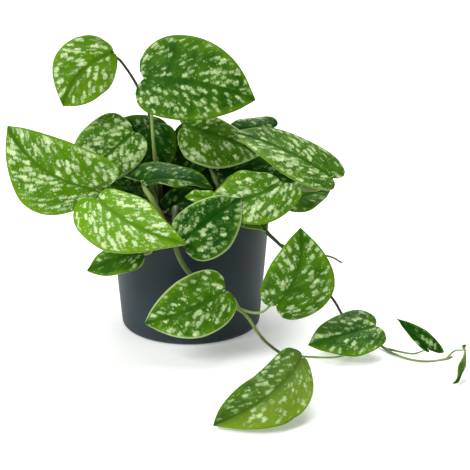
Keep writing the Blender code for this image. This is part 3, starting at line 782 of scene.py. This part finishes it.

# %% [markdown]
# Leaves of one plant differ. The youngest are yellow-green, the leaves inside are painted deep
# green as painted shade, and some carry far more silver than others. Each leaf gets its own share
# of both: from the photo where it shows the leaf, and by chance at the back. A few also have a pale
# rim, a left half of lighter olive that is partly their own tone and partly painted sheen, or
# silver in longer streaks.

# %% Every leaf's look, and the blades
Look = namedtuple("Look", "fresh silver rim olive streak", defaults=(0.0, 0.0, 1.0))
# The first number is the leaf's youth. Below 0 it paints the leaves inside the plant and the most
# shaded ones deep green, as painted shade.
LOOKS = {
    "top_left": Look(0.55, 0.50, olive=0.15, streak=1.3), "top_large": Look(0.20, 0.48),
    "left_outer": Look(0.60, 0.60, streak=1.6), "front_left": Look(1.05, 0.62, streak=1.5),
    "left_upper": Look(0.30, 0.84, rim=0.3), "lying_front": Look(0.10, 0.42, olive=0.6),
    "hanging_front": Look(0.32, 0.55, rim=0.9), "hanging_right": Look(0.35, 0.50),
    "front_centre": Look(0.00, 0.64, rim=0.7), "centre_upper": Look(0.40, 0.62, rim=1.0),
    "right_outer": Look(0.35, 0.62, streak=1.3), "front_right": Look(0.45, 0.72),
    "lying_right": Look(0.18, 0.55), "right_lower": Look(0.30, 0.30), "rim_left": Look(0.25, 0.30),
    "rim_right": Look(0.80, 0.20), "inner_upper": Look(-0.2, 0.30), "inner_shaded": Look(-0.2, 0.35),
    "folded_right": Look(-0.1, 0.25), "vine_end": Look(0.40, 0.15), "right_behind": Look(-0.1, 0.55),
    "centre_young": Look(1.30, 0.20), "centre_tilted": Look(0.00, 0.40), "inner_left": Look(0.00, 0.40),
    "inner_low_left": Look(-0.4, 0.15), "inner_low_right": Look(-0.4, 0.15),
    "inner_right": Look(-0.3, 0.25), "inner_centre": Look(-0.3, 0.25), "inner_back": Look(-0.4, 0.15),
}
FRESH_RANGE = (-0.1, 0.6)
SILVER_RANGE = (0.32, 0.70)
SEED_STEP = 0.37
BLADE_THICKNESS = 0.5


def leaf_frame(leaf):
    """A leaf's joint, the line from there to its tip, and its own ways ahead and up."""
    joint, face = Vector(leaf.joint), Vector(leaf.face)
    chord = Vector(leaf.tip) - joint
    ahead = chord.normalized()
    return joint, chord, ahead, (face - face.dot(ahead) * ahead).normalized()


def dress_leaf(number, leaf):
    """One blade: its blank, its form, its thickness, and its place on the plant."""
    draw = random.Random(leaf.name)
    joint, chord, ahead, up = leaf_frame(leaf)
    left = up.cross(ahead)
    arch = math.radians(leaf.arch)
    length = chord.length * (arch / 2) / math.sin(arch / 2)
    half_width = length * leaf.width / 2
    chance = random.Random(leaf.name + " look")
    by_chance = Look(chance.uniform(*FRESH_RANGE), chance.uniform(*SILVER_RANGE))
    looks = LOOKS.get(leaf.name.replace("leaf_", ""), by_chance)._asdict()
    streak = looks.pop("streak")
    looks["seed"] = number * SEED_STEP
    flat = blank(leaf, length, half_width, looks, streak)
    made = link(leaf.name.replace("leaf_", "blade_"), flat)
    for skin in (SKIN, BACK, EDGE):
        made.data.materials.append(skin)
    follow(made, LEAF_FORM, {
        "Length": length * MM, "Half width": half_width * MM, "Fold": float(leaf.fold),
        "Wave height": draw.uniform(*WAVE_HEIGHTS) * MM, "Left phase": draw.uniform(0, math.tau),
        "Right phase": draw.uniform(0, math.tau), "Twist": math.radians(draw.uniform(*TWISTS)),
        "Arch": arch, "Skin": SKIN,
    })
    walls = made.modifiers.new("thickness", "SOLIDIFY")
    walls.thickness = BLADE_THICKNESS * MM
    walls.offset = 0
    walls.material_offset = 1
    walls.material_offset_rim = 2
    made = plain(made)
    turn = Matrix((
        (ahead.x, left.x, up.x, joint.x * MM),
        (ahead.y, left.y, up.y, joint.y * MM),
        (ahead.z, left.z, up.z, joint.z * MM),
        (0, 0, 0, 1),
    ))
    made.data.transform(turn)
    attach(made, "root")
    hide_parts(leaf.name)
    return made


blades = [dress_leaf(number, leaf) for number, leaf in enumerate(LEAVES)]
print(len(blades), "blades,", sum(len(b.data.polygons) for b in blades), "faces")
sides = [polygon.material_index for polygon in blades[0].data.polygons]
counts = [sides.count(slot) for slot in range(3)]
print("the first blade has", counts, "faces above, below and round its edge")

# %% [markdown]
# A stem of this plant is a round green cord with a swollen node where each leaf stalk starts, and
# every stalk thickens again just under its blade. A path with a radius at each point says all of
# that, and Geometry Nodes run a round profile along it. Paths are kept as plain edges, because
# edges carry attributes: the radius, and how young the wood is.

# %% The paths of stems and stalks
STALK_RADII = [(0.0, 1.7), (0.12, 1.25), (0.5, 1.0), (0.88, 1.0), (1.0, 1.35)]
SLIMMEST_STALK = 0.6
STALK_APPROACH = 7.0
STALK_END_GAP = 0.7
STALK_TURN_UP = 0.9
STALK_TURN_AHEAD = 0.3
NODE_SWELLING = 0.30
NODE_REACH = 4.0
SOIL_TOP = 80.0
POT_RIM_RADIUS = 60.0
STEPS_A_SPAN = 10
STEM_YOUTH = {
    "stem_right": [(0, -0.6), (0.35, 0.0), (0.42, -0.8), (0.66, -0.7), (0.71, 0.3), (1, 0.6)],
    "stem_front": [
        (0, -0.7), (0.3, -0.5), (0.42, 0.2), (0.66, 0.7), (0.82, 0.2), (0.94, -0.5), (1, -0.4),
    ],
    "stem_top": [(0, -0.7), (0.4, -0.4), (0.7, 0.5), (1, 0.8)],
    "stem_centre": [(0, -0.6), (0.35, -0.1), (0.5, 0.5), (1, 0.8)],
}
STALK_YOUTH = {
    "leaf_top_left": [(0, 0.2), (0.4, -0.6), (1, -0.9)],
    "leaf_top_large": [(0, 0.7), (1, 1.0)],
    "leaf_hanging_right": [(0, 0.8), (1, 1.0)],
    "leaf_lying_right": [(0, 0.6), (1, 0.8)],
}
USUAL_STEM_YOUTH = [(0, -0.6), (0.6, 0.0), (1, 0.5)]
USUAL_STALK_YOUTH = [(0, 0.5), (1, 0.9)]
ROOT_RADIUS = 0.8
ROOT_TAPER = 0.3


def steps_between(pairs, share):
    """The value at this share along a list of (share, value) pairs."""
    for (start, low), (end, high) in zip(pairs, pairs[1:]):
        if share <= end:
            return low + (high - low) * (share - start) / (end - start)
    return pairs[-1][1]


def stalk_end(leaf, origin):
    """The last points of a stalk before its joint: a short way behind the blade, and just under it."""
    joint, _, ahead, up = leaf_frame(leaf)
    half = math.radians(leaf.arch) / 2
    ahead, up = (
        math.cos(half) * ahead + math.sin(half) * up,
        math.cos(half) * up - math.sin(half) * ahead,
    )
    coming = (joint - Vector(origin)).normalized() + STALK_TURN_UP * up + STALK_TURN_AHEAD * ahead
    coming.normalize()
    reach = STALK_END_GAP + STALK_RADII[-1][1] * coming.cross(up).length
    end = joint - reach * up
    return [end - STALK_APPROACH * coming, end]


def path_points(route, radius_at, young):
    """(place, radius, youth) for each step of a smooth path."""
    count = STEPS_A_SPAN * (len(route) - 1)
    shares = [i / count for i in range(count + 1)]
    return [(smooth_at(route, share), radius_at(share), young(share)) for share in shares]


def youth_along(pairs):
    """How young the bark is on its way: 1 is new growth, 0 is olive, -1 is nearly black."""
    return lambda share: steps_between(pairs, share)


def stalk_radius(slim):
    """The radius along a leaf stalk as a rule, for a stalk that is thinner by this share."""
    return lambda share: slim * steps_between(STALK_RADII, share)


def root_radius(share):
    """The radius along an aerial root, which tapers."""
    return ROOT_RADIUS * (1 - ROOT_TAPER * share)


def stem_paths(stem):
    """The stem's own path first, then its stalks' and its aerial roots'."""
    route = [Vector(point) for point in stem.route]
    leaves = [leaf for leaf in LEAVES if leaf.stem == stem.name]
    nodes = [route[leaf.node] for leaf in leaves]

    def thickness(share):
        place = smooth_at(route, share)
        near = min(((place - node).length for node in nodes), default=math.inf)
        swelling = 1 + NODE_SWELLING * math.exp(-((near / NODE_REACH) ** 2))
        inside = place.z < SOIL_TOP and place.y > -POT_RIM_RADIUS
        return steps_between(stem.radii, share) * (1 if inside else swelling)

    youth = youth_along(STEM_YOUTH.get(stem.name, USUAL_STEM_YOUTH))
    paths = [path_points(route, thickness, youth)]
    for leaf in leaves:
        carried_by = steps_between(stem.radii, leaf.node / (len(route) - 1))
        slim = max(SLIMMEST_STALK, min(1, carried_by / STALK_RADII[0][1]))
        before = leaf.via[-1] if leaf.via else tuple(route[leaf.node])
        line = [route[leaf.node], *[Vector(point) for point in leaf.via], *stalk_end(leaf, before)]
        line.append(Vector(leaf.joint))
        youth = youth_along(STALK_YOUTH.get(leaf.name, USUAL_STALK_YOUTH))
        paths.append(path_points(line, stalk_radius(slim), youth))
    for start, line in stem.roots:
        line = [route[start], *[Vector(point) for point in line]]
        paths.append(path_points(line, root_radius, lambda share: 0.0))
    return paths


def path_mesh(name, paths):
    """The paths as chains of edges, with their radii and their youth as attributes."""
    stops = [stop for path in paths for stop in path]
    edges = []
    start = 0
    for path in paths:
        edges += [(start + i, start + i + 1) for i in range(len(path) - 1)]
        start += len(path)
    mesh = bpy.data.meshes.new(name + "_path")
    mesh.from_pydata([place * MM for place, _, _ in stops], edges, [])
    for label, index in (("thickness", 1), ("young", 2)):
        layer = mesh.attributes.new(label, "FLOAT", "POINT")
        layer.data.foreach_set("value", [stop[index] for stop in stops])
    return mesh


print("the front stem has", sum(len(path) for path in stem_paths(STEMS[0])), "points")

# %% The stem's recipe: a round profile run along its paths
STEM_SIDES = 14


def stem_form():
    tree, amount = recipe("Stem skin", {"Sides": STEM_SIDES, "Profile radius": MM, "Bark": ""})
    lines = put(tree, "GeometryNodeMeshToCurve", Mesh=amount["Geometry"])
    ring = put(
        tree, "GeometryNodeCurvePrimitiveCircle", Resolution=amount["Sides"],
        Radius=amount["Profile radius"],
    )
    tube = put(
        tree, "GeometryNodeCurveToMesh", Curve=lines.outputs[0],
        Profile_Curve=ring.outputs["Curve"], Scale=field(tree, "thickness"), Fill_Caps=True,
    )
    smooth = put(tree, "GeometryNodeSetShadeSmooth", Geometry=tube.outputs[0])
    serve(tree, smooth.outputs[0], amount["Bark"])
    return tree


def green_bark():
    """From blackish green through olive to the yellow-green of young growth, with brown flecks."""
    made, tree, shader = finish("green_stem_bark", Roughness=0.5, Specular_IOR_Level=0.4)
    place = put(tree, "ShaderNodeTexCoord").outputs["Object"]
    young = attribute(tree, "young")
    broad = noise(tree, place, 90, 3.0)
    fine = noise(tree, place, 900, 2.0)
    age = young + (broad - 0.5) * 0.6
    old = blend_colours(tree, age + 1, paint(22, 34, 12), paint(64, 84, 30))
    green = blend_colours(tree, age, old, paint(138, 164, 80))
    flecks = fine.step(0.62, 0.70) * (young * -1 + 1) * 0.7
    coat(tree, shader, blend_colours(tree, flecks, green, paint(74, 52, 30)))
    bump(tree, shader, broad * 0.6 + fine * 0.4, 0.2 * MM)
    return made


STEM_FORM = stem_form()
BARK = green_bark()


def dress_stem(stem):
    made = link(stem.name.replace("stem_", "vine_"), path_mesh(stem.name, stem_paths(stem)))
    follow(made, STEM_FORM, {"Bark": BARK})
    made = plain(made)
    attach(made, "root")
    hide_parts(stem.name)
    return made


vines = [dress_stem(stem) for stem in STEMS]
print(len(vines), "stems,", sum(len(v.data.polygons) for v in vines), "faces")

# %% [markdown]
# The pot is thin moulded plastic, a plain cone with a rounded foot and a rounded lip. It is a
# turned shape, so its outline is drawn once and spun with a Screw modifier. Its slate plastic is
# satin, with the faint grain of the mould, and rubbed a little paler round the foot.

# %% The pot
POT_HEIGHT = 95.0
POT_BASE_RADIUS = 52.0
POT_WALL = 2.2
POT_FLOOR = 3.0
POT_INNER_ROUND = 3.0
POT_BASE_ROUND = 5.0
POT_LIP_ROUND = 0.9
POT_SIDES = 144
POT_BASE_STEPS = 10
POT_LIP_STEPS = 5
POT_WALL_HEIGHTS = (70, 45, 20)
SPIN_MERGE_METRES = 0.00001


def wall_radius(height):
    """The outer radius of the pot at this height."""
    return POT_BASE_RADIUS + (POT_RIM_RADIUS - POT_BASE_RADIUS) * height / POT_HEIGHT


def arc(centre, radius, start, end, steps):
    """Points (radius, height) on an arc, with its angles in degrees."""
    angles = [math.radians(start + (end - start) * step / steps) for step in range(steps + 1)]
    return [(centre[0] + radius * math.cos(a), centre[1] + radius * math.sin(a)) for a in angles]


def spun(name, profile, sides):
    """A closed turned shape from a profile of (radius, height) points."""
    mesh = bpy.data.meshes.new(name)
    edges = [(i, i + 1) for i in range(len(profile) - 1)]
    mesh.from_pydata([(radius * MM, 0, height * MM) for radius, height in profile], edges, [])
    made = link(name, mesh)
    screw = made.modifiers.new("spin", "SCREW")
    screw.steps = screw.render_steps = sides
    screw.use_merge_vertices = True
    screw.merge_threshold = SPIN_MERGE_METRES
    screw.use_smooth_shade = True
    return plain(made)


def pot_profile():
    inside = POT_WALL + POT_BASE_ROUND / 2
    lip, foot = POT_LIP_ROUND, POT_BASE_ROUND
    inner_corner = POT_FLOOR + POT_INNER_ROUND
    profile = [(0, POT_FLOOR), (POT_BASE_RADIUS - inside, POT_FLOOR)]
    profile += [(wall_radius(inner_corner) - POT_WALL, inner_corner)]
    profile += [(wall_radius(SOIL_TOP) - POT_WALL, SOIL_TOP)]
    profile += arc((POT_RIM_RADIUS - POT_WALL + lip, POT_HEIGHT - lip), lip, 180, 90, POT_LIP_STEPS)
    profile += arc((POT_RIM_RADIUS - lip, POT_HEIGHT - lip), lip, 90, 0, POT_LIP_STEPS)
    profile += [(wall_radius(height), height) for height in POT_WALL_HEIGHTS]
    profile += arc((wall_radius(foot) - foot, foot), foot, 0, -90, POT_BASE_STEPS)
    return profile + [(0, 0)]


def slate_plastic():
    made, tree, shader = finish("slate_pot_plastic", Specular_IOR_Level=0.14)
    place = put(tree, "ShaderNodeTexCoord").outputs["Object"]
    spot = put(tree, "ShaderNodeSeparateXYZ", Vector=place)
    height = Wire(tree, spot.outputs["Z"])
    cloud = noise(tree, place, 22, 3.0)
    grain = noise(tree, place, 1600, 2.0)
    colour = blend_colours(tree, cloud, paint(37, 47, 52), paint(50, 61, 67))
    worn = (height * -1).step(-6 * MM, -1 * MM) * noise(tree, place, 240, 3.0).step(0.45, 0.7)
    coat(tree, shader, blend_colours(tree, worn * 0.35, colour, paint(104, 110, 116)))
    plug(tree, cloud * 0.12 + 0.44, shader.inputs["Roughness"])
    bump(tree, shader, grain, 0.05 * MM)
    return made


pot = spun("moulded_pot", pot_profile(), POT_SIDES)
pot.data.materials.append(slate_plastic())
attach(pot, "root")
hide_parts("pot")
print("pot", len(pot.data.polygons), "faces")

# %% [markdown]
# Potting soil is a lumpy bed with loose crumbs of peat and bark on it. The bed is a turned disc
# that Geometry Nodes push up and down with noise, and the crumbs are scattered on it from the
# same tree: points on the faces, a rough little stone on each, and a random size and turn.

# %% The soil bed and its crumbs
SOIL_AMOUNTS = {
    "Lump height": 0.004, "Crumbs": 60000.0, "Smallest": 0.4, "Largest": 1.6, "Seed": 3, "Peat": "",
}
SOIL_SIDES = 96
SOIL_RINGS = 40
SOIL_EDGE_GAP = 0.3
SOIL_SKIRT = [(0, 1), (1, 6)]
TOP_BAND = ((SOIL_TOP - 0.5) * MM, (SOIL_TOP - 0.1) * MM)
LUMP_SCALE = 110.0
CRUMB_ROUGHNESS = 3.0 * MM
CRUMB_SCALE = 600.0


def soil_form():
    tree, amount = recipe("Soil bed", SOIL_AMOUNTS)
    place = put(tree, "GeometryNodeInputPosition").outputs[0]
    hills = put(tree, "ShaderNodeTexNoise", Vector=place, Scale=LUMP_SCALE, Detail=4.0)
    spot = put(tree, "ShaderNodeSeparateXYZ", Vector=place)
    top = Wire(tree, spot.outputs["Z"]).step(*TOP_BAND)
    lift = (Wire(tree, hills.outputs[0]) - 0.5) * amount["Lump height"] * top
    raised = put(
        tree, "GeometryNodeSetPosition", Geometry=amount["Geometry"],
        Offset=put(tree, "ShaderNodeCombineXYZ", Z=lift).outputs[0],
    )
    dots = put(
        tree, "GeometryNodeDistributePointsOnFaces", Mesh=raised.outputs[0],
        Density=amount["Crumbs"] * top, Seed=amount["Seed"],
    )
    stone = put(tree, "GeometryNodeMeshIcoSphere", Radius=MM, Subdivisions=1)
    sizes = put(tree, "FunctionNodeRandomValue", {"data_type": "FLOAT"}, Seed=amount["Seed"])
    plug(tree, amount["Smallest"], sizes.inputs[2])
    plug(tree, amount["Largest"], sizes.inputs[3])
    turns = put(tree, "FunctionNodeRandomValue", {"data_type": "FLOAT_VECTOR"}, Seed=amount["Seed"])
    turns.inputs[1].default_value = (math.tau, math.tau, math.tau)
    crumbs = put(
        tree, "GeometryNodeInstanceOnPoints", Points=dots.outputs["Points"],
        Instance=stone.outputs["Mesh"], Scale=sizes.outputs[1], Rotation=turns.outputs[0],
    )
    real = put(tree, "GeometryNodeRealizeInstances", Geometry=crumbs.outputs[0])
    rough = put(tree, "ShaderNodeTexNoise", Vector=place, Scale=CRUMB_SCALE, Detail=1.0)
    back, forth = (-CRUMB_ROUGHNESS / 2,) * 3, (CRUMB_ROUGHNESS,) * 3
    push = pushed(tree, back, rough.outputs["Color"], forth)
    broken = put(tree, "GeometryNodeSetPosition", Geometry=real.outputs[0], Offset=push)
    joined = tree.nodes.new("GeometryNodeJoinGeometry")
    plug(tree, raised.outputs[0], joined.inputs[0])
    plug(tree, broken.outputs[0], joined.inputs[0])
    serve(tree, joined.outputs[0], amount["Peat"])
    return tree


def peat():
    made, tree, shader = finish("potting_peat", Roughness=0.95, Specular_IOR_Level=0.2)
    place = put(tree, "ShaderNodeTexCoord").outputs["Object"]
    crumb = noise(tree, place, 350, 4.0, 0.7)
    colour = blend_colours(tree, crumb.step(0.35, 0.7), paint(26, 18, 12), paint(74, 54, 38))
    bark = noise(tree, place, 170, 1.0).step(0.64, 0.68)
    coat(tree, shader, blend_colours(tree, bark * 0.6, colour, paint(104, 74, 48)))
    bump(tree, shader, crumb, 0.6 * MM)
    return made


edge = wall_radius(SOIL_TOP) - POT_WALL - SOIL_EDGE_GAP
disc = [(edge * i / SOIL_RINGS, SOIL_TOP) for i in range(SOIL_RINGS)]
disc += [(edge - inward, SOIL_TOP - down) for inward, down in SOIL_SKIRT]
soil = spun("soil_bed_blank", disc + [(0, disc[-1][1])], SOIL_SIDES)
soil.name = "soil_bed"
follow(soil, soil_form(), {**SOIL_AMOUNTS, "Peat": peat()})
soil = plain(soil)
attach(soil, "root")
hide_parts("soil")
print("soil", len(soil.data.polygons), "faces")
